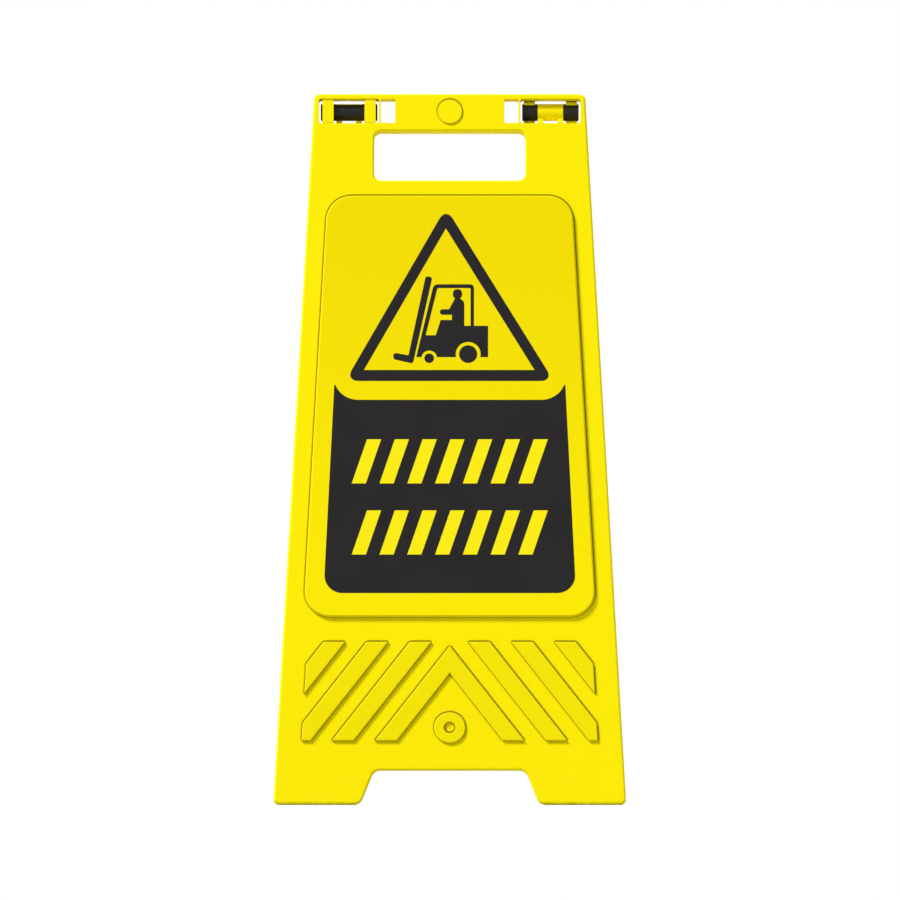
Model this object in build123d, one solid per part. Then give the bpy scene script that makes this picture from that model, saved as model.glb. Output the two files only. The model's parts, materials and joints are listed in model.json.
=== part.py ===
"""A-frame floor sign: two identical moulded panels that hinge at the head on two black snap-in pins.

Millimetres and degrees. The finished sign stands open on the floor: +Z up, X across the panels, the front
panel on the -Y side, origin on the floor midway between the feet.
A panel is drawn folded and upright: hinge axis on the X axis, inner rim near y = 0, face towards -Y.
"""

from build123d import *
import os
from math import cos, radians, sin, tan

# Panel outline, measured on its face
PANEL_LENGTH = 620.0
FOOT_WIDTH = 300.0
HEAD_WIDTH = 230.0
CORNER_RADIUS = 5.0

# Feet and the cut-out between them, measured upright over the floor
CORNER_SPREAD = 0.3
NOTCH_HEIGHT = 29.0
NOTCH_WIDTH_TOP = 128.6
NOTCH_WIDTH_FLOOR = 152.0
NOTCH_RADIUS = 8.0

# Panel section
RIM_DEPTH = 12.0
WALL = 2.5
SOLE = 6.0
COLLAR = 2.0
EDGE_ROUND = 2.0

# Stance
LEAN = 13.0
FOLD_GAP = 0.3

# Carrying hole
HAND_HOLE_BELOW_HEAD = 32.3
HAND_HOLE_WIDTH = 128.4
HAND_HOLE_HEIGHT = 43.1
HAND_HOLE_RADIUS = 6.0
HAND_HOLE_BEVEL = 1.2

# Raised label field and the label on it
FIELD_BELOW_HEAD = 89.4
FIELD_ABOVE_FOOT = 163.5
FIELD_INSET = 16.2
FIELD_RADIUS = 22.0
FIELD_RISE = 3.0
FIELD_BEVEL = 0.8
LABEL_MARGIN = 1.2
LABEL_THICKNESS = 0.3

# Raised chevron bars
BARS_ABOVE_FOOT = 55.6
BARS_LENGTH = 86.2
BARS_INSET = 21.0
BARS_EACH_SIDE = 3
BAR_WIDTH = 18.5
BAR_PITCH = 36.6
BAR_SLOPE = 0.767
BAR_RISE = 2.2
BAR_BEVEL = 0.6
APEX_BELOW_BARS = 3.4

# Raised ring between the feet and plain disc on the head
RING_ABOVE_FOOT = 67.0
RING_RADIUS = 13.4
RING_HOLE_RADIUS = 4.8
RING_RISE = 2.0
RING_BEVEL = 0.6
DISC_BELOW_HEAD = 15.7
DISC_RADIUS = 10.4
DISC_RISE = 1.2

# Stiffening ribs across the inside
RIB_THICKNESS = 2.0
RIB_DEPTH = 7.0
RIB_BELOW_HEAD = 82.0
RIBS_ABOVE_FOOT = (153.0, 43.0)

# Hinge pins
PIN_RADIUS = 7.2
PIN_LENGTH = 48.0
PIN_NECK_RADIUS = 4.4
PIN_CHAMFER = 0.6
PIN_CLEARANCE = 0.1
PIN_END_FLOAT = 0.2
PIN_OVERHANG = 1.4
KEY_CLEARANCE = 2.0

# Clips that hold the pins
END_CLIP_WIDTH = 9.5
END_CLIP_WALL = 1.7
END_CLIP_WRAP = 220.0
STRAP_SETBACK = 0.8
MIDDLE_CLIP_WRAP = 200.0
CLIP_GAP = 2.3
STALK_WIDTH = 5.0
STALK_THICKNESS = 4.0
STALK_SETBACK = 0.6

# Hinge windows in the head and the slots beside them
HEAD_WALL = 4.3
SIDE_WALL = 4.0
WINDOW_END_GAP = 1.5
WINDOW_ABOVE_CLIPS = 0.3
WINDOW_BELOW_CLIPS = 3.1
WINDOW_RADIUS = 1.8
SLOT_WIDTH = 12.0
SLOT_HEIGHT = 20.7
SLOT_RADIUS = 0.8
SLOT_WALL = 1.6

# Values that follow from the sizes above
PIN_BORE = PIN_RADIUS + PIN_CLEARANCE
CLIP_RADIUS = PIN_BORE + END_CLIP_WALL
END_CLIP_OFFSET = PIN_LENGTH / 2 - PIN_OVERHANG - END_CLIP_WIDTH / 2
MIDDLE_CLIP_WIDTH = 2 * (END_CLIP_OFFSET - END_CLIP_WIDTH / 2 - CLIP_GAP)
WINDOW_TOP_Z = CLIP_RADIUS + WINDOW_ABOVE_CLIPS
WINDOW_FLOOR_Z = -CLIP_RADIUS - WINDOW_BELOW_CLIPS
WINDOW_WIDTH = PIN_LENGTH + 2 * WINDOW_END_GAP
WINDOW_HEIGHT = WINDOW_TOP_Z - WINDOW_FLOOR_Z
WINDOW_Z = (WINDOW_TOP_Z + WINDOW_FLOOR_Z) / 2
HINGE_OFFSET = HEAD_WIDTH / 2 - SIDE_WALL - WINDOW_WIDTH / 2
SLOT_OFFSET = HINGE_OFFSET - WINDOW_WIDTH / 2 - SLOT_WALL - SLOT_WIDTH / 2
HEAD_Z = WINDOW_TOP_Z + HEAD_WALL
FOOT_Z = HEAD_Z - PANEL_LENGTH
INNER_Y = -FOLD_GAP / 2
FACE_Y = INNER_Y - RIM_DEPTH
SKIN_Y = FACE_Y + WALL
FIELD_Y = FACE_Y - FIELD_RISE
FIELD_TOP_Z = HEAD_Z - FIELD_BELOW_HEAD
FIELD_FLOOR_Z = FOOT_Z + FIELD_ABOVE_FOOT
BARS_FLOOR_Z = FOOT_Z + BARS_ABOVE_FOOT
BARS_TOP_Z = BARS_FLOOR_Z + BARS_LENGTH
RIBS_Z = [HEAD_Z - RIB_BELOW_HEAD] + [FOOT_Z + above for above in RIBS_ABOVE_FOOT]
TAPER = (FOOT_WIDTH - HEAD_WIDTH) / 2 / PANEL_LENGTH
LEAN_SLOPE = tan(radians(LEAN))
AXIS_HEIGHT = FACE_Y * sin(radians(LEAN)) - FOOT_Z * cos(radians(LEAN))
CUT = 2 * RIM_DEPTH + HEAD_Z
SAME_DEPTH = 0.01
LEVEL_FORWARD = (0, -cos(radians(LEAN)), -sin(radians(LEAN)))
FOOT_PLANE = Plane(origin=(0, FACE_Y, FOOT_Z), x_dir=(1, 0, 0), z_dir=LEVEL_FORWARD)


def half_width(z, inset=0.0):
    """Half the panel's width at height z, less an inset from each side."""
    return FOOT_WIDTH / 2 - TAPER * (z - FOOT_Z) - inset


def polygon(*points):
    return make_face(Polyline(*points, close=True))


def tapered(top, bottom, inset=0.0):
    """A four-sided face between two heights that follows the panel's sides at an inset."""
    a, b = half_width(top, inset), half_width(bottom, inset)
    return polygon((-a, top), (a, top), (b, bottom), (-b, bottom))


def upright(sketch, start, stop):
    """A face drawn in x and z made solid between two depths; start is nearer the inner rim."""
    return extrude(Plane.XZ.offset(-start) * sketch, amount=start - stop)


def level(sketch):
    """A face drawn in x and z made solid both ways along the floor that the open sign stands on."""
    return extrude(FOOT_PLANE * Pos(0, -FOOT_Z) * sketch, amount=CUT, both=True)


def along_x(sketch, middle, width):
    """A face drawn in y and z made solid along X about a middle."""
    return extrude(Plane.YZ.offset(middle - width / 2) * sketch, amount=width)


def front_edges(solid, depth):
    """The edges of a solid that lie in its front face at a given depth."""
    return solid.edges().filter_by_position(Axis.Y, depth - SAME_DEPTH, depth + SAME_DEPTH)


def raised(sketch, rise, bevel):
    """A pad that stands out of the face, with its front edges bevelled."""
    pad = upright(sketch, SKIN_Y, FACE_Y - rise)
    return chamfer(front_edges(pad, FACE_Y - rise), bevel)


def hollow(sketch, rise):
    """The space behind a raised pad that leaves its front a wall thick."""
    return upright(sketch, SKIN_Y, FACE_Y - rise + WALL)


def wedge(half_angle):
    """A three-sided face that opens from the hinge axis towards the other panel."""
    reach = 3 * PIN_RADIUS
    rise = reach * tan(radians(half_angle))
    return polygon((0, 0), (reach, rise), (reach, -rise))


def panel_outline():
    """The panel's outline with square feet: tapering sides and a rounded head."""
    blank = tapered(HEAD_Z, FOOT_Z)
    return fillet(blank.vertices().group_by(Axis.Y)[-1], CORNER_RADIUS)


def notch():
    """The cut-out between the feet, from its rounded top to well below the floor."""
    top, floor = NOTCH_WIDTH_TOP / 2, NOTCH_WIDTH_FLOOR / 2
    below = 2 * floor - top
    top_z = FOOT_Z + NOTCH_HEIGHT
    below_z = FOOT_Z - NOTCH_HEIGHT
    face = polygon((-top, top_z), (top, top_z), (below, below_z), (-below, below_z))
    return fillet(face.vertices().group_by(Axis.Y)[-1], NOTCH_RADIUS)


def foot_waste():
    """All that lies below and between the rounded feet; its sides stay clear of the panel's sides."""
    feet = fillet(tapered(HEAD_Z, FOOT_Z, -CORNER_SPREAD).vertices(), CORNER_RADIUS) - notch()
    inner = NOTCH_WIDTH_FLOOR / 2
    corners = [feet.vertices().sort_by_distance((side * inner, FOOT_Z, 0))[0] for side in (-1, 1)]
    return Pos(0, FOOT_Z) * Rectangle(2 * FOOT_WIDTH, 4 * NOTCH_HEIGHT) - fillet(corners, NOTCH_RADIUS)


def hand_hole():
    middle = HEAD_Z - HAND_HOLE_BELOW_HEAD - HAND_HOLE_HEIGHT / 2
    return Pos(0, middle) * RectangleRounded(HAND_HOLE_WIDTH, HAND_HOLE_HEIGHT, HAND_HOLE_RADIUS)


def head_openings():
    """The hinge windows and the slots beside them."""
    window = RectangleRounded(WINDOW_WIDTH, WINDOW_HEIGHT, WINDOW_RADIUS)
    slot = RectangleRounded(SLOT_WIDTH, SLOT_HEIGHT, SLOT_RADIUS)
    faces = []
    for side in (-1, 1):
        faces.append(Pos(side * HINGE_OFFSET, WINDOW_Z) * window)
        faces.append(Pos(side * SLOT_OFFSET, WINDOW_Z) * slot)
    return faces


def head_frames(outline):
    """The solid frames round the openings in the head, out to the panel's side and top."""
    inner = SLOT_OFFSET - SLOT_WIDTH / 2 - COLLAR
    floor = WINDOW_FLOOR_Z - COLLAR
    frames = []
    for side in (-1, 1):
        middle = Pos(side * (inner + HEAD_WIDTH) / 2, (floor + HEAD_Z) / 2)
        frames.append(middle * Rectangle(HEAD_WIDTH - inner, HEAD_Z - floor) & outline)
    return frames


def label_field(margin=0.0):
    """The raised field's outline, less a margin all round."""
    face = tapered(FIELD_TOP_Z - margin, FIELD_FLOOR_Z + margin, FIELD_INSET + margin)
    return fillet(face.vertices(), FIELD_RADIUS - margin)


def bar_edge(depth, step):
    """How far from the middle the upper edge of a bar lies, a distance below the top of the bars."""
    return BAR_SLOPE * (depth - APEX_BELOW_BARS) + step * BAR_PITCH


def side_bar(step, side, zone):
    """One slanted bar beside the middle chevron, clipped to the zone of the bars."""
    points = []
    for depth, back in ((0, 0), (0, BAR_WIDTH), (BARS_LENGTH, BAR_WIDTH), (BARS_LENGTH, 0)):
        points.append((side * (bar_edge(depth, step) - back), BARS_TOP_Z - depth))
    return polygon(*points) & zone


def middle_bar():
    """The chevron on the centre line."""
    apex = BARS_TOP_Z - APEX_BELOW_BARS
    inner = apex - BAR_WIDTH / BAR_SLOPE
    floor = BARS_FLOOR_Z
    outer = bar_edge(BARS_LENGTH, 0)
    under = outer - BAR_WIDTH
    return polygon((0, apex), (outer, floor), (under, floor), (0, inner), (-under, floor), (-outer, floor))


def chevron_bars():
    zone = tapered(BARS_TOP_Z, BARS_FLOOR_Z, BARS_INSET)
    bars = [middle_bar()]
    for step in range(1, BARS_EACH_SIDE + 1):
        for side in (-1, 1):
            bars.append(side_bar(step, side, zone))
    return bars


def end_clip(x):
    """A strap across a window with an open clip behind it that runs on the end of a pin."""
    front, back = FACE_Y + STRAP_SETBACK, -PIN_BORE - END_CLIP_WALL / 2
    profile = Pos((front + back) / 2, WINDOW_Z) * Rectangle(back - front, WINDOW_HEIGHT + COLLAR)
    profile = profile + Circle(CLIP_RADIUS) - wedge(180 - END_CLIP_WRAP / 2) - Circle(PIN_BORE)
    return along_x(profile, x, END_CLIP_WIDTH)


def middle_clip(x):
    """A clip flush with the pin that holds its neck, on two stalks from the window's floor."""
    bore = Circle(PIN_NECK_RADIUS + PIN_CLEARANCE)
    clip = along_x(Circle(PIN_RADIUS) - wedge(180 - MIDDLE_CLIP_WRAP / 2) - bore, x, MIDDLE_CLIP_WIDTH)
    foot = WINDOW_FLOOR_Z - COLLAR
    stalk_y = -STALK_SETBACK - STALK_THICKNESS / 2
    stalk = Pos(stalk_y, foot / 2) * Rectangle(STALK_THICKNESS, -foot) - bore
    for side in (-1, 1):
        clip += along_x(stalk, x + side * (MIDDLE_CLIP_WIDTH - STALK_WIDTH) / 2, STALK_WIDTH)
    return clip


def hinge_pin(x):
    """A round pin cut down to its neck where the middle clip holds it; the rest keeps its full radius."""
    pin = along_x(Circle(PIN_RADIUS), x, PIN_LENGTH)
    ends = pin.edges().group_by(Axis.X)
    pin = chamfer(ends[0] + ends[-1], PIN_CHAMFER)
    key = wedge(180 - MIDDLE_CLIP_WRAP / 2 - KEY_CLEARANCE)
    seat = Circle(2 * PIN_RADIUS) - key - Circle(PIN_NECK_RADIUS)
    return pin - along_x(seat, x, MIDDLE_CLIP_WIDTH + 2 * PIN_END_FLOAT)


def panel_shell(outline):
    """The skin and the rim round it, with level feet, rounded edges and thicker soles."""
    solid = upright(outline, INNER_Y, FACE_Y) - level(foot_waste())
    solid = fillet(front_edges(solid, FACE_Y), EDGE_ROUND)
    cavity = upright(offset(outline, -WALL) & tapered(HEAD_Z, FOOT_Z + SOLE), INNER_Y, SKIN_Y)
    return solid - (cavity - level(offset(notch(), WALL)))


def add_raised_work(solid):
    """Add the label field, the chevron bars, the ring and the disc that stand out of the face."""
    solid += raised(label_field(), FIELD_RISE, FIELD_BEVEL)
    solid -= hollow(label_field(WALL), FIELD_RISE)
    for bar in chevron_bars():
        solid += raised(bar, BAR_RISE, BAR_BEVEL)
        solid -= hollow(offset(bar, -WALL, kind=Kind.INTERSECTION), BAR_RISE)
    ring = Circle(RING_RADIUS) - Circle(RING_HOLE_RADIUS)
    solid += raised(Pos(0, FOOT_Z + RING_ABOVE_FOOT) * ring, RING_RISE, RING_BEVEL)
    disc = Pos(0, HEAD_Z - DISC_BELOW_HEAD) * Circle(DISC_RADIUS)
    return solid + upright(disc, SKIN_Y, FACE_Y - DISC_RISE)


def add_ribs(solid):
    """Add the ribs that tie the two sides of the rim together."""
    for z in RIBS_Z:
        rib = Pos(0, z) * Rectangle(2 * half_width(z, WALL / 2), RIB_THICKNESS)
        solid += upright(rib, SKIN_Y + RIB_DEPTH, SKIN_Y)
    return solid


def cut_hand_hole(solid):
    """Cut the carrying hole through a collar and bevel its front edge."""
    hole = hand_hole()
    solid += upright(offset(hole, COLLAR), INNER_Y, SKIN_Y)
    solid -= upright(hole, INNER_Y, FACE_Y)
    reach = HAND_HOLE_WIDTH / 2 + COLLAR
    top = HEAD_Z - HAND_HOLE_BELOW_HEAD + COLLAR
    bottom = top - HAND_HOLE_HEIGHT - 2 * COLLAR
    rim = front_edges(solid, FACE_Y).filter_by_position(Axis.X, -reach, reach)
    return chamfer(rim.filter_by_position(Axis.Z, bottom, top), HAND_HOLE_BEVEL)


def cut_head(solid, outline):
    """Cut the hinge windows and slots, then the faces that meet and stop the panels when they are open."""
    for frame in head_frames(outline):
        solid += upright(frame, INNER_Y, SKIN_Y)
    for opening in head_openings():
        solid -= upright(opening, INNER_Y, FACE_Y)
    stop = polygon((INNER_Y, 0), (INNER_Y - CUT * LEAN_SLOPE, CUT), (CUT, CUT), (CUT, 0))
    return solid - along_x(stop, 0, 2 * FOOT_WIDTH)


def panel():
    """One moulded panel, folded and upright."""
    outline = panel_outline()
    solid = add_ribs(add_raised_work(panel_shell(outline)))
    solid = cut_head(cut_hand_hole(solid), outline)
    for side in (-1, 1):
        solid += end_clip(-HINGE_OFFSET + side * END_CLIP_OFFSET)
    return solid + middle_clip(HINGE_OFFSET)


def standing(solid):
    """Lean a folded front piece out to its place in the open sign."""
    return Pos(0, 0, AXIS_HEIGHT) * Rot(-LEAN, 0, 0) * solid


front_panel = standing(panel())
front_label = standing(upright(label_field(LABEL_MARGIN), FIELD_Y, FIELD_Y - LABEL_THICKNESS))
right_hinge_pin = standing(hinge_pin(HINGE_OFFSET))
half_turn = Rot(0, 0, 180)

nodes = {
    "front_panel": front_panel,
    "front_label": front_label,
    "right_hinge_pin": right_hinge_pin,
    "rear_panel": half_turn * front_panel,
    "left_hinge_pin": half_turn * right_hinge_pin,
}

os.makedirs("parts", exist_ok=True)
for name, shape in nodes.items():
    export_step(shape, f"parts/{name}.step")
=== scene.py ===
"""Looks of the folding floor sign: moulded yellow panels, black hinge pins and the print on the front label.

Every print piece is drawn flat, as on paper held upright: X across, Z up from the hinge axis. It is pressed
to the thickness of an ink film, and then leaned out with the front panel to lie on the label.
Sizes are millimetres unless a heading says otherwise. A point of the drawing is given by its distance across
and its distance below the top of the head.
"""

import json
from math import cos, radians, sin

import bpy
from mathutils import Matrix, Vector


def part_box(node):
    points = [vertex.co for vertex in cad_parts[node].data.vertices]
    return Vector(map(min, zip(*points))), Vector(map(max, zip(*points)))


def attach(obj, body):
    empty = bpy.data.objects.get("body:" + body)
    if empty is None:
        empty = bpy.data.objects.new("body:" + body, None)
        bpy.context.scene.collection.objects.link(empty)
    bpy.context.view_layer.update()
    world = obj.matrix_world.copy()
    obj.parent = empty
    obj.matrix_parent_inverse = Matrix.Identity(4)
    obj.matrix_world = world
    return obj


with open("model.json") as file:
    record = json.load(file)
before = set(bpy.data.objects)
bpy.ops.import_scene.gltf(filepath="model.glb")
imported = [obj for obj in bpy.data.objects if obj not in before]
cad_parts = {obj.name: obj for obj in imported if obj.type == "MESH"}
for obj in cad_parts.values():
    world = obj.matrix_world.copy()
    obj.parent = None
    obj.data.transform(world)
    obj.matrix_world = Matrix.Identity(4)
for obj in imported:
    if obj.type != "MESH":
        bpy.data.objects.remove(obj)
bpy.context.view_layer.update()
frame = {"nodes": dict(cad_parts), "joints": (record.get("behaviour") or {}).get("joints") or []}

MM = 0.001
FOLD = frame["joints"][0]
LEAN = radians(FOLD["range_deg"][1] / 2)
AXIS_HEIGHT = FOLD["pos_m"][2]

# Print on the label
HEAD_ABOVE_AXIS = 13.6
INK_BED = 0.05
INK_PROUD = 0.10
CUTTER_REACH = 2.0
SAME_PLACE = 0.05
ROUND_STEPS = 8
DISC_SIDES = 48

TRIANGLE_OUTER = ((-3.3, 100.0), (88.3, 251.1), (-88.7, 251.1))
TRIANGLE_INNER = ((-3.3, 118.1), (72.0, 241.6), (-73.0, 241.6))
TRIANGLE_ROUND = 11.0

FORKS = ((-20.4, 159.6), (-14.8, 160.6), (-31.3, 236.0), (-48.3, 232.0), (-47.6, 226.5), (-35.1, 228.8))
MAST_ROUND = 2.4
TINE_ROUND = 2.2
HEEL_ROUND = 2.2
TRUCK_BODY = ((-13.6, 166.9), (20.5, 166.9), (20.5, 203.1), (32.5, 203.1), (32.5, 230.3), (-28.5, 230.3))
CAB_ROUND = 3.2
CAB_FRAME_OPENING = ((-10.5, 170.1), (17.7, 170.1), (17.7, 203.1), (12.3, 203.1))
CAB_INNER_ROUND = 1.2
DRIVER_BACK = ((12.3, 182.0), (8.6, 179.2), (10.4, 177.6), (10.4, 171.1))
DRIVER_FRONT = ((2.7, 171.1), (2.7, 177.6), (4.4, 179.2), (-0.6, 188.7), (-8.3, 188.7), (-8.3, 193.4))
HEAD_ROUND = 3.6
NECK_ROUND = 1.6
LIMB_ROUND = 2.1
TRUCK_SEAT = ((1.8, 193.4), (1.8, 198.0), (-7.7, 198.0), (-12.0, 211.3), (-20.5, 211.3))
REAR_WHEEL = (15.6, 227.7)
REAR_WHEEL_RADIUS = 7.7
REAR_ARCH_RADIUS = 10.6
FRONT_WHEEL = (-17.5, 231.3)
FRONT_WHEEL_RADIUS = 4.1
FRONT_ARCH_RADIUS = 6.7

FIELD_TOP = 254.5
FIELD_BOTTOM = 436.0
FIELD_TOP_HALF = 98.1
FIELD_BOTTOM_HALF = 107.2
FIELD_ROUND = 16.0
FIELD_DIP = 267.6
FIELD_DIP_HALF = 98.8
FIELD_DIP_ROUND = 20.8

STRIPE_TOPS = (302.0, 364.0)
STRIPE_HEIGHT = 38.5
STRIPE_WIDTH = 12.0
STRIPE_PITCH = 23.6
STRIPE_SLANT = 13.0
STRIPES_PER_ROW = 7

# Depth of a panel's face before the hinge axis, and heights over that face
FACE_DEPTH = 12.15
WORK_STARTS = 1.2
WORK_ENDS = 1.9
# The next four weaken the painted shade in the creases behind a panel's face and on surfaces that face
# inwards
SHELTER_BEHIND = 0.25
FACE_BLUR = 0.05
FACING_INWARD = -0.15
SHELTERED_CREASE_SHADE = 0.3

# Grain and drift of every surface: detail and roughness of the noise
GRAIN_NOISE = (2.0, 0.6)
DRIFT_NOISE = (3.0, 0.5)

# Scuffs and grime at the feet, and painted shade in the creases
SCUFF_HEIGHT = 50.0
SCUFF_TURN = (0.2, 0.3, 0.4)
SCUFFS_PER_METRE = (60.0, 60.0, 420.0)
SCUFF_DETAIL = 4.0
SCUFF_SHOWS = (0.62, 0.80)
GRIME_HEIGHT = 4.0
GRIME_PER_METRE = 140.0
GRIME_NOISE = (4.0, 0.7)
GRIME_SHOWS = (0.30, 0.70)
GRIME_STRENGTH = 0.6
# Painted shade in the creases: ambient occlusion reach, where it shows, and a downhill tilt that darkens
# ledges most
CREASE_SHADE_REACH = 2.5
CREASE_SHADE_SHOWS = (0.91, 0.67)
CREASE_SHADE_TILT = 0.65

# Finishes: grains and patches per metre, depth of the grain and radius that light sees on the edges
PANEL_FINISH = {"grains": 1400.0, "patches": 9.0, "dullness": (0.52, 0.64), "gloss": 0.14,
                "grain_depth": 0.06, "edge_radius": 0.5}
PIN_FINISH = {"grains": 1800.0, "patches": 60.0, "dullness": (0.38, 0.55), "gloss": 0.20,
              "grain_depth": 0.04, "edge_radius": 0.4}
LABEL_FINISH = {"grains": 420.0, "patches": 14.0, "dullness": (0.34, 0.44), "gloss": 0.18,
                "grain_depth": 0.01}
INK_FINISH = {"grains": 900.0, "patches": 24.0, "dullness": (0.42, 0.54), "gloss": 0.15,
              "grain_depth": 0.01}
LABEL_DRIFT = 0.15
EDGE_SAMPLES = 6

# Camera and stage, in metres
VIEW_WIDTH = 0.7645
VIEW_CENTRE = (0.0002, 0.3015)
CAMERA_DISTANCE = 3.0
FLOOR_SIZE = 14.0
FLOOR_WHITENS = (0.45, 1.3)
FLOOR_DULLNESS = 0.9
FLOOR_GLOSS = 0.1
SURROUND_LIGHT = 0.40
AIM = (0.0, 0.0, 0.30)
LAMP_DISTANCE = 24.0
KEY_DIRECTION = (-1.2, -0.64, 1.69)
KEY_SIZE = 4.8
KEY_POWER = 6120.0
BACK_DIRECTION = (1.2, 2.0, 1.6)
BACK_SIZE = 9.6
BACK_POWER = 2880.0


def linear(red, green, blue):
    """A screen colour from 0 to 255 as the renderer's light values."""
    steps = []
    for value in (red, green, blue):
        share = value / 255
        steps.append(share / 12.92 if share <= 0.04045 else ((share + 0.055) / 1.055) ** 2.4)
    return (*steps, 1.0)


YELLOW = linear(253, 236, 2)
YELLOW_DRIFT = linear(249, 232, 2)
# YELLOW_DEEP is painted shade on the raised work, and also the random deeper tone of the label's drift
YELLOW_DEEP = linear(244, 227, 2)
YELLOW_PALE = linear(253, 240, 70)
YELLOW_SHEEN = linear(255, 246, 140)
# Colour of the painted shade in the creases, and of the real grime at the feet
CREASE_SHADE_AND_GRIME = linear(142, 127, 14)
# Painted shade: the label darkens from its bottom colour to its top colour
LABEL_SHADED_TOP = linear(240, 218, 1)
LABEL_BOTTOM = linear(250, 232, 2)
PRINT_YELLOW = linear(251, 235, 8)
PRINT_BLACK = linear(24, 22, 22)
PRINT_BLACK_THIN = linear(32, 30, 30)
PIN_BLACK = linear(24, 22, 22)
PIN_BLACK_WORN = linear(34, 32, 32)
FLOOR_PALE = linear(188, 188, 186)
WHITE = (1, 1, 1, 1)


def pick(piece):
    """Make one object the only selected and active one."""
    bpy.ops.object.select_all(action="DESELECT")
    piece.select_set(True)
    bpy.context.view_layer.objects.active = piece


def paper(point):
    """A point of the drawing in metres, on the upright drawing plane."""
    across, below = point
    return across * MM, 0.0, (HEAD_ABOVE_AXIS - below) * MM


def step_between(start, stop):
    """The way from one point of the drawing to another, in metres."""
    return tuple(b - a for a, b in zip(paper(start), paper(stop)))


def draw(name, *corners):
    """A flat shape pulled out of one point, corner by corner, and filled."""
    bpy.ops.object.select_all(action="DESELECT")
    bpy.ops.mesh.primitive_plane_add(size=MM)
    piece = bpy.context.object
    piece.name = name
    bpy.ops.object.mode_set(mode="EDIT")
    bpy.ops.mesh.select_all(action="SELECT")
    bpy.ops.mesh.merge(type="CENTER")
    bpy.ops.transform.translate(value=paper(corners[0]))
    for start, stop in zip(corners, corners[1:]):
        bpy.ops.mesh.extrude_vertices_move(TRANSFORM_OT_translate={"value": step_between(start, stop)})
    bpy.ops.mesh.select_all(action="SELECT")
    bpy.ops.mesh.edge_face_add()
    bpy.ops.object.mode_set(mode="OBJECT")
    return piece


def disc(name, centre, radius):
    """A flat disc on the drawing plane."""
    bpy.ops.object.select_all(action="DESELECT")
    bpy.ops.mesh.primitive_circle_add(vertices=DISC_SIDES, radius=radius * MM, fill_type="NGON",
                                      location=paper(centre), rotation=(radians(90), 0, 0))
    piece = bpy.context.object
    piece.name = name
    bpy.ops.object.transform_apply(location=True, rotation=True, scale=True)
    return piece


def soften(piece, corners, reach):
    """Round the named corners of a flat shape, from a distance along its edges."""
    pick(piece)
    places = [Vector(paper(corner)) for corner in corners]
    bpy.ops.object.mode_set(mode="EDIT")
    bpy.ops.mesh.select_mode(type="VERT")
    bpy.ops.mesh.select_all(action="DESELECT")
    bpy.ops.object.mode_set(mode="OBJECT")
    for vertex in piece.data.vertices:
        vertex.select = any((vertex.co - place).length < SAME_PLACE * MM for place in places)
    bpy.ops.object.mode_set(mode="EDIT")
    bpy.ops.mesh.bevel(offset=reach * MM, segments=ROUND_STEPS, affect="VERTICES", clamp_overlap=True)
    bpy.ops.object.mode_set(mode="OBJECT")


def press(piece, back, front):
    """Give a flat shape its thickness between two depths in front of the drawing plane, in millimetres."""
    pick(piece)
    bpy.ops.object.mode_set(mode="EDIT")
    bpy.ops.mesh.select_all(action="SELECT")
    bpy.ops.transform.translate(value=(0, -back * MM, 0))
    bpy.ops.mesh.extrude_region_move(TRANSFORM_OT_translate={"value": (0, (back - front) * MM, 0)})
    bpy.ops.mesh.select_all(action="SELECT")
    bpy.ops.mesh.normals_make_consistent(inside=False)
    bpy.ops.object.mode_set(mode="OBJECT")
    return piece


def film(piece):
    """Press a shape to the thickness of an ink film, bedded a little into what it lies on."""
    return press(piece, -INK_BED, INK_PROUD)


def cutter_of(piece):
    """Press a shape thick enough to cut through any ink film."""
    return press(piece, -CUTTER_REACH, CUTTER_REACH)


def cut(piece, cutter):
    """Cut one pressed shape out of another."""
    pick(piece)
    bpy.ops.object.modifier_add(type="BOOLEAN")
    modifier = piece.modifiers[-1]
    modifier.operation = "DIFFERENCE"
    modifier.solver = "EXACT"
    modifier.object = cutter
    bpy.ops.object.modifier_apply(modifier=modifier.name)
    bpy.data.objects.remove(cutter)


def lay_on_label(piece, layer):
    """Lean a pressed piece out with the front panel and lay it on the label, or on the ink below it."""
    pick(piece)
    bpy.ops.object.mode_set(mode="EDIT")
    bpy.ops.mesh.select_all(action="SELECT")
    bpy.ops.transform.translate(value=(0, -label_depth - layer * INK_PROUD * MM, 0))
    bpy.ops.object.mode_set(mode="OBJECT")
    piece.rotation_euler = (-LEAN, 0, 0)
    piece.location = (0, 0, AXIS_HEIGHT)
    bpy.ops.object.transform_apply(location=True, rotation=True, scale=True)
    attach(piece, "front")


def warning_triangle():
    """The black triangular border with rounded outer corners."""
    border = draw("warning_triangle", *TRIANGLE_OUTER)
    soften(border, TRIANGLE_OUTER, TRIANGLE_ROUND)
    film(border)
    cut(border, cutter_of(draw("triangle_opening", *TRIANGLE_INNER)))
    return border


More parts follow.
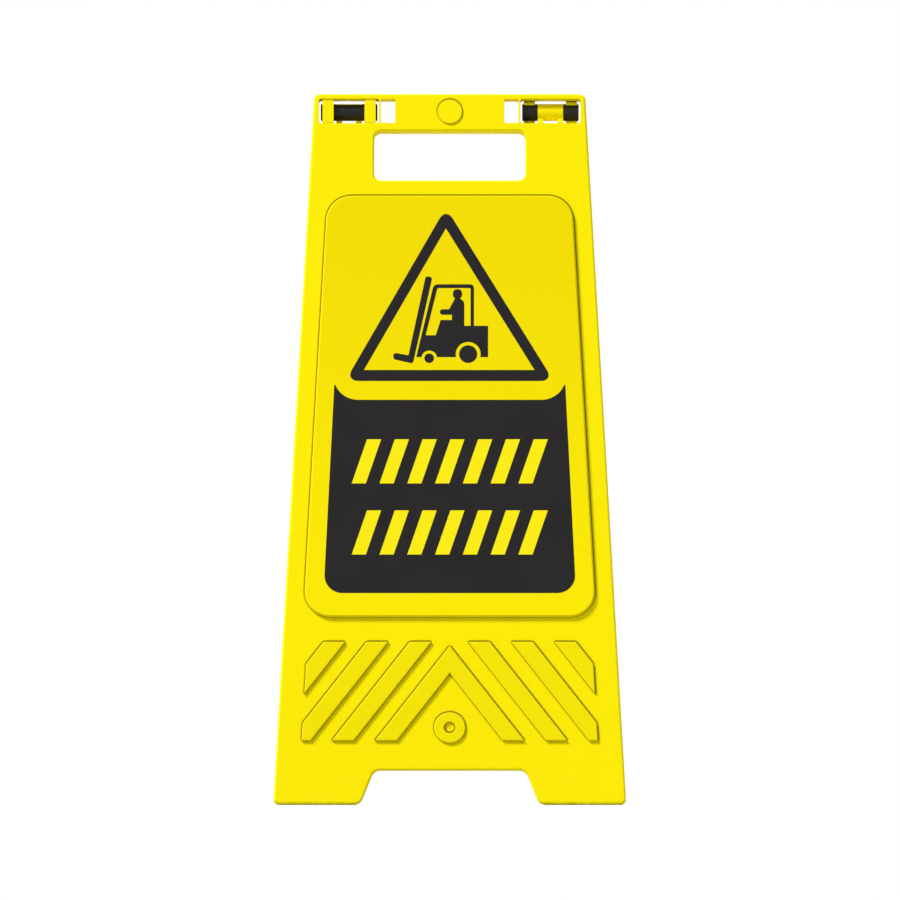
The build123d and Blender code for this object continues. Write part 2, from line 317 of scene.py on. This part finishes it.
def lift_truck():
    """The truck with its driver, the forks on their mast, and two wheels, each standing free of the rest."""
    truck = draw("lift_truck", *TRUCK_BODY)
    soften(truck, TRUCK_BODY[:2], CAB_ROUND)
    film(truck)
    cab = draw("cab_opening", *CAB_FRAME_OPENING, *DRIVER_BACK, *DRIVER_FRONT, *TRUCK_SEAT)
    soften(cab, (DRIVER_BACK[-1], DRIVER_FRONT[0]), HEAD_ROUND)
    soften(cab, (DRIVER_BACK[-2], DRIVER_FRONT[1]), NECK_ROUND)
    soften(cab, (DRIVER_BACK[0], *DRIVER_FRONT[-2:]), LIMB_ROUND)
    soften(cab, CAB_FRAME_OPENING[:2], CAB_INNER_ROUND)
    cut(truck, cutter_of(cab))
    cut(truck, cutter_of(disc("rear_arch", REAR_WHEEL, REAR_ARCH_RADIUS)))
    cut(truck, cutter_of(disc("front_arch", FRONT_WHEEL, FRONT_ARCH_RADIUS)))
    forks = draw("forks", *FORKS)
    soften(forks, FORKS[:2], MAST_ROUND)
    soften(forks, FORKS[3:5], TINE_ROUND)
    soften(forks, FORKS[2:3], HEEL_ROUND)
    loose = [film(forks)]
    loose.append(film(disc("rear_wheel", REAR_WHEEL, REAR_WHEEL_RADIUS)))
    loose.append(film(disc("front_wheel", FRONT_WHEEL, FRONT_WHEEL_RADIUS)))
    pick(truck)
    for piece in loose:
        piece.select_set(True)
    bpy.ops.object.join()
    return truck


def message_field():
    """The black field under the triangle, hollowed along its top and rounded at its foot."""
    corners = ((-FIELD_TOP_HALF, FIELD_TOP), (FIELD_TOP_HALF, FIELD_TOP),
               (FIELD_BOTTOM_HALF, FIELD_BOTTOM), (-FIELD_BOTTOM_HALF, FIELD_BOTTOM))
    field = draw("message_field", *corners)
    soften(field, corners[2:], FIELD_ROUND)
    film(field)
    above = FIELD_TOP - FIELD_DIP_ROUND
    dip_corners = ((-FIELD_DIP_HALF, above), (FIELD_DIP_HALF, above),
                   (FIELD_DIP_HALF, FIELD_DIP), (-FIELD_DIP_HALF, FIELD_DIP))
    dip = draw("field_dip", *dip_corners)
    soften(dip, dip_corners[2:], FIELD_DIP_ROUND)
    cut(field, cutter_of(dip))
    return field


def stripe_row(name, top):
    """A row of slanted yellow stripes across the black field."""
    left = -((STRIPES_PER_ROW - 1) * STRIPE_PITCH + STRIPE_WIDTH + STRIPE_SLANT) / 2
    bottom = top + STRIPE_HEIGHT
    row = draw(name, (left + STRIPE_SLANT, top), (left + STRIPE_SLANT + STRIPE_WIDTH, top),
               (left + STRIPE_WIDTH, bottom), (left, bottom))
    film(row)
    pick(row)
    bpy.ops.object.modifier_add(type="ARRAY")
    copies = row.modifiers[-1]
    copies.count = STRIPES_PER_ROW
    copies.use_relative_offset = False
    copies.use_constant_offset = True
    copies.constant_offset_displace = (STRIPE_PITCH * MM, 0, 0)
    bpy.ops.object.modifier_apply(modifier=copies.name)
    return row


def feed(tree, made, inputs):
    """Set a node's inputs, each to a value or from a socket to link from."""
    for socket, value in inputs.items():
        if isinstance(value, bpy.types.NodeSocket):
            tree.links.new(value, made.inputs[socket])
        else:
            made.inputs[socket].default_value = value


def add_node(tree, kind, inputs=None, **properties):
    """Add a shader node with its properties and inputs set."""
    made = tree.nodes.new(kind)
    for name, value in properties.items():
        setattr(made, name, value)
    feed(tree, made, inputs or {})
    return made


def add_group(tree, group, inputs):
    """Place a shader node group in a material."""
    return add_node(tree, "ShaderNodeGroup", inputs, node_tree=group)


def noise(tree, place, scale, detail, roughness=0.5):
    """A cloudy pattern from 0 to 1."""
    made = add_node(tree, "ShaderNodeTexNoise", {
        "Vector": place, "Scale": scale, "Detail": detail, "Roughness": roughness})
    return made.outputs["Fac"]


def ramp(tree, value, start, stop, low=0.0, high=1.0, shape="LINEAR"):
    """A number that goes from low to high while a value goes from start to stop."""
    made = add_node(tree, "ShaderNodeMapRange", {
        "Value": value, "From Min": start, "From Max": stop, "To Min": low, "To Max": high},
        interpolation_type=shape)
    return made.outputs["Result"]


def spread(tree, value, low, high):
    """A 0 to 1 value spread between two numbers."""
    return ramp(tree, value, 0.0, 1.0, low, high)


def combine(tree, operation, first, second):
    """Two numbers worked into one."""
    return add_node(tree, "ShaderNodeMath", {0: first, 1: second}, operation=operation).outputs["Value"]


def combine_vectors(tree, operation, *vectors):
    """Vectors worked into one, or into a number by a dot product or a length."""
    made = add_node(tree, "ShaderNodeVectorMath", dict(enumerate(vectors)), operation=operation)
    return made.outputs["Value" if operation in ("DOT_PRODUCT", "LENGTH") else "Vector"]


def blend(tree, share, low, high):
    """A colour between two colours, on the colour sockets of a mix node: 6 and 7 in, 2 out."""
    mix = add_node(tree, "ShaderNodeMix", {"Factor": share, 6: low, 7: high}, data_type="RGBA")
    return mix.outputs[2]


def new_group(name, inputs, outputs):
    """An empty shader node group with named number sockets; returns its tree, input node and output node."""
    tree = bpy.data.node_groups.new(name, "ShaderNodeTree")
    for socket in inputs:
        tree.interface.new_socket(socket, in_out="INPUT", socket_type="NodeSocketFloat")
    for socket in outputs:
        tree.interface.new_socket(socket, in_out="OUTPUT", socket_type="NodeSocketFloat")
    return tree, tree.nodes.new("NodeGroupInput"), tree.nodes.new("NodeGroupOutput")


def moulded_skin():
    """Fine grain and slow drift over a surface, each 0 to 1, at a number of grains or patches per metre."""
    tree, given, result = new_group("moulded_skin", ("Grains", "Patches"), ("Grain", "Drift"))
    place = add_node(tree, "ShaderNodeTexCoord").outputs["Object"]
    feed(tree, result, {"Grain": noise(tree, place, given.outputs["Grains"], *GRAIN_NOISE),
                        "Drift": noise(tree, place, given.outputs["Patches"], *DRIFT_NOISE)})
    return tree


def foot_wear():
    """Thin pale scuffs and floor grime, each 0 to 1, that fade out above their own heights in metres."""
    tree, given, result = new_group("foot_wear", ("Scuff Height", "Grime Height"), ("Scuff", "Grime"))
    place = add_node(tree, "ShaderNodeTexCoord").outputs["Object"]
    height = add_node(tree, "ShaderNodeSeparateXYZ", {"Vector": place}).outputs["Z"]
    stretched = add_node(tree, "ShaderNodeMapping", {
        "Vector": place, "Rotation": SCUFF_TURN, "Scale": SCUFFS_PER_METRE}).outputs["Vector"]
    streaks = noise(tree, stretched, 1.0, SCUFF_DETAIL)
    blots = noise(tree, place, GRIME_PER_METRE, *GRIME_NOISE)
    for socket, pattern, shows in (("Scuff", streaks, SCUFF_SHOWS), ("Grime", blots, GRIME_SHOWS)):
        marks = ramp(tree, pattern, *shows, shape="SMOOTHSTEP")
        low_down = ramp(tree, height, given.outputs[f"{socket} Height"], 0.0, shape="SMOOTHSTEP")
        feed(tree, result, {socket: combine(tree, "MULTIPLY", marks, low_down)})
    return tree


def crease_shade():
    """Painted shade in the inside corners of a moulding, 0 to 1, from ambient occlusion out to a reach in
    metres, tilted downhill so it is darkest on ledges.
    """
    tree, given, result = new_group("crease_shade", ("Reach",), ("Shade",))
    surface = add_node(tree, "ShaderNodeNewGeometry").outputs["Normal"]
    # Tilting the occlusion downhill puts more painted shade on the ledges above the raised work
    downhill = combine_vectors(tree, "ADD", surface, (0, 0, -CREASE_SHADE_TILT))
    open_sky = add_node(tree, "ShaderNodeAmbientOcclusion", {
        "Distance": given.outputs["Reach"], "Normal": downhill}, only_local=True).outputs["AO"]
    feed(tree, result, {"Shade": ramp(tree, open_sky, *CREASE_SHADE_SHOWS, shape="SMOOTHSTEP")})
    return tree


SKIN = moulded_skin()
WEAR = foot_wear()
CREASES = crease_shade()


def new_material(name):
    """A new material; returns it with its tree and its shader."""
    material = bpy.data.materials.new(name)
    material.use_nodes = True
    return material, material.node_tree, material.node_tree.nodes["Principled BSDF"]


def finished_material(name, finish):
    """A new material with a finish's grain, gloss and edges; returns it with its tree, shader and skin."""
    material, tree, shader = new_material(name)
    skin = add_group(tree, SKIN, {"Grains": finish["grains"], "Patches": finish["patches"]})
    grain = add_node(tree, "ShaderNodeBump", {
        "Height": skin.outputs["Grain"], "Distance": finish["grain_depth"] * MM, "Strength": 1.0})
    if "edge_radius" in finish:
        radius = finish["edge_radius"] * MM
        rounded = add_node(tree, "ShaderNodeBevel", {"Radius": radius}, samples=EDGE_SAMPLES)
        feed(tree, grain, {"Normal": rounded.outputs["Normal"]})
    feed(tree, shader, {
        "Roughness": spread(tree, skin.outputs["Drift"], *finish["dullness"]),
        "Specular IOR Level": finish["gloss"],
        "Normal": grain.outputs["Normal"]})
    return material, tree, shader, skin


def across_panel(tree):
    """How far out a point lies along its panel's outward axis, and how squarely its surface faces there."""
    place = add_node(tree, "ShaderNodeTexCoord")
    side = combine_vectors(tree, "SIGN", place.outputs["Object"])
    out_axis = combine_vectors(tree, "MULTIPLY", side, (0, cos(LEAN), sin(LEAN)))
    outward = combine_vectors(tree, "DOT_PRODUCT", place.outputs["Object"], out_axis)
    facing = combine_vectors(tree, "DOT_PRODUCT", place.outputs["Normal"], out_axis)
    return outward, facing


def open_to_crease_shade(tree, outward, facing, face):
    """How much painted crease shade shows: 1 on the open side of a panel, less on what lies behind its face
    or faces inwards.
    """
    before = ramp(tree, outward, face - SHELTER_BEHIND * MM, face - FACE_BLUR * MM, low=SHELTERED_CREASE_SHADE)
    exposed = ramp(tree, facing, 2 * FACING_INWARD, FACING_INWARD, low=SHELTERED_CREASE_SHADE)
    return combine(tree, "MINIMUM", before, exposed)


def yellow_plastic():
    """Moulded yellow plastic: painted shade as a deeper yellow on the raised work and in the creases, wear
    at the feet.
    """
    material, tree, shader, skin = finished_material("sign_yellow_plastic", PANEL_FINISH)
    wear = add_group(tree, WEAR, {"Scuff Height": SCUFF_HEIGHT * MM, "Grime Height": GRIME_HEIGHT * MM})
    creases = add_group(tree, CREASES, {"Reach": CREASE_SHADE_REACH * MM})
    outward, facing = across_panel(tree)
    face = AXIS_HEIGHT * sin(LEAN) + FACE_DEPTH * MM
    raised = ramp(tree, outward, face + WORK_STARTS * MM, face + WORK_ENDS * MM)
    # Painted shade in the creases, weaker behind the face and inside the tray
    painted_crease_shade = combine(tree, "MULTIPLY", creases.outputs["Shade"], open_to_crease_shade(tree, outward, facing, face))
    grime = spread(tree, wear.outputs["Grime"], 0.0, GRIME_STRENGTH)
    ground = blend(tree, skin.outputs["Drift"], YELLOW, YELLOW_DRIFT)
    # Painted shade: the raised work takes a deeper yellow
    raised_shaded = blend(tree, raised, ground, YELLOW_DEEP)
    # Painted crease shade goes on first; the real grime at the feet takes the same colour below
    crease_shaded = blend(tree, painted_crease_shade, raised_shaded, CREASE_SHADE_AND_GRIME)
    scuffed = blend(tree, wear.outputs["Scuff"], crease_shaded, YELLOW_PALE)
    soiled = blend(tree, grime, scuffed, CREASE_SHADE_AND_GRIME)
    feed(tree, shader, {"Base Color": soiled, "Specular Tint": YELLOW_SHEEN})
    return material


def black_plastic():
    """Moulded black plastic, rubbed greyer in patches."""
    material, tree, shader, skin = finished_material("pin_black_plastic", PIN_FINISH)
    feed(tree, shader, {"Base Color": blend(tree, skin.outputs["Drift"], PIN_BLACK, PIN_BLACK_WORN)})
    return material


def label_vinyl():
    """Smooth yellow film, with painted shade that makes it a shade deeper towards its top."""
    material, tree, shader, skin = finished_material("label_yellow_vinyl", LABEL_FINISH)
    place = add_node(tree, "ShaderNodeTexCoord").outputs["Object"]
    height = add_node(tree, "ShaderNodeSeparateXYZ", {"Vector": place}).outputs["Z"]
    low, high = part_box("front_label")
    # Painted shade, deepening towards the label's top
    rise = ramp(tree, height, low.z, high.z, shape="SMOOTHSTEP")
    shade = blend(tree, rise, LABEL_BOTTOM, LABEL_SHADED_TOP)
    drift = spread(tree, skin.outputs["Drift"], 0.0, LABEL_DRIFT)
    uneven = blend(tree, drift, shade, YELLOW_DEEP)
    feed(tree, shader, {"Base Color": uneven, "Specular Tint": YELLOW_SHEEN})
    return material


def ink(name, thick, thin):
    """Screen-printed ink, laid down slightly unevenly."""
    material, tree, shader, skin = finished_material(name, INK_FINISH)
    feed(tree, shader, {"Base Color": blend(tree, skin.outputs["Drift"], thick, thin)})
    return material


def seen_directly(tree):
    """1 for rays that see the stage itself or its mirror image, 0 for rays that carry light."""
    rays = add_node(tree, "ShaderNodeLightPath").outputs
    either = combine(tree, "MAXIMUM", rays["Is Camera Ray"], rays["Is Glossy Ray"])
    return combine(tree, "MAXIMUM", either, rays["Is Transmission Ray"])


def white_surround():
    """A white world that lights the sign softly."""
    world = bpy.data.worlds.new("white_surround")
    world.use_nodes = True
    bpy.context.scene.world = world
    tree = world.node_tree
    strength = spread(tree, seen_directly(tree), SURROUND_LIGHT, 1.0)
    feed(tree, tree.nodes["Background"], {"Color": WHITE, "Strength": strength})


def pale_floor():
    """A pale floor that takes the sign's shadow and fades into the white surround."""
    bpy.ops.object.select_all(action="DESELECT")
    bpy.ops.mesh.primitive_plane_add(size=FLOOR_SIZE)
    floor = bpy.context.object
    floor.name = "floor"
    material, tree, shader = new_material("pale_floor")
    feed(tree, shader, {
        "Base Color": FLOOR_PALE, "Roughness": FLOOR_DULLNESS, "Specular IOR Level": FLOOR_GLOSS})
    away = combine_vectors(tree, "LENGTH", add_node(tree, "ShaderNodeTexCoord").outputs["Object"])
    far = ramp(tree, away, *FLOOR_WHITENS, shape="SMOOTHSTEP")
    share = combine(tree, "MULTIPLY", far, seen_directly(tree))
    white = add_node(tree, "ShaderNodeEmission", {"Color": WHITE, "Strength": 1.0})
    mix = add_node(tree, "ShaderNodeMixShader", {
        0: share, 1: shader.outputs["BSDF"], 2: white.outputs["Emission"]})
    feed(tree, tree.nodes["Material Output"], {"Surface": mix.outputs["Shader"]})
    floor.data.materials.append(material)


def lamp(name, direction, size, power):
    """A square soft lamp that stands off from the sign in a direction and is aimed at its middle."""
    stand_off = Vector(direction).normalized() * LAMP_DISTANCE
    bpy.ops.object.light_add(type="AREA", location=Vector(AIM) + stand_off,
                             rotation=(-stand_off).to_track_quat("-Z", "Y").to_euler())
    light = bpy.context.object
    light.name = name
    light.data.size = size
    light.data.energy = power


def front_camera():
    """A camera straight before the sign that sees it without perspective."""
    bpy.ops.object.camera_add(location=(VIEW_CENTRE[0], -CAMERA_DISTANCE, VIEW_CENTRE[1]),
                              rotation=(radians(90), 0, 0))
    camera = bpy.context.object
    camera.data.type = "ORTHO"
    camera.data.ortho_scale = VIEW_WIDTH
    bpy.context.scene.camera = camera


bpy.context.scene.view_settings.view_transform = "Standard"
front_camera()
white_surround()
pale_floor()
lamp("key_lamp", KEY_DIRECTION, KEY_SIZE, KEY_POWER)
lamp("back_lamp", BACK_DIRECTION, BACK_SIZE, BACK_POWER)

label_points = [vertex.co for vertex in frame["nodes"]["front_label"].data.vertices]
label_depth = max(-point.y * cos(LEAN) + (point.z - AXIS_HEIGHT) * sin(LEAN) for point in label_points)

black_ink = ink("print_black_ink", PRINT_BLACK, PRINT_BLACK_THIN)
yellow_ink = ink("print_yellow_ink", PRINT_YELLOW, YELLOW_DRIFT)
for piece in (warning_triangle(), lift_truck(), message_field()):
    lay_on_label(piece, 0)
    piece.data.materials.clear()
    piece.data.materials.append(black_ink)
for name, top in zip(("upper_stripes", "lower_stripes"), STRIPE_TOPS):
    row = stripe_row(name, top)
    lay_on_label(row, 1)
    row.data.materials.clear()
    row.data.materials.append(yellow_ink)

panel_yellow = yellow_plastic()
pin_black = black_plastic()
node_materials = {"front_panel": panel_yellow, "rear_panel": panel_yellow, "front_label": label_vinyl(),
                  "right_hinge_pin": pin_black, "left_hinge_pin": pin_black}
for node, material in node_materials.items():
    frame["nodes"][node].material_slots[0].material = material
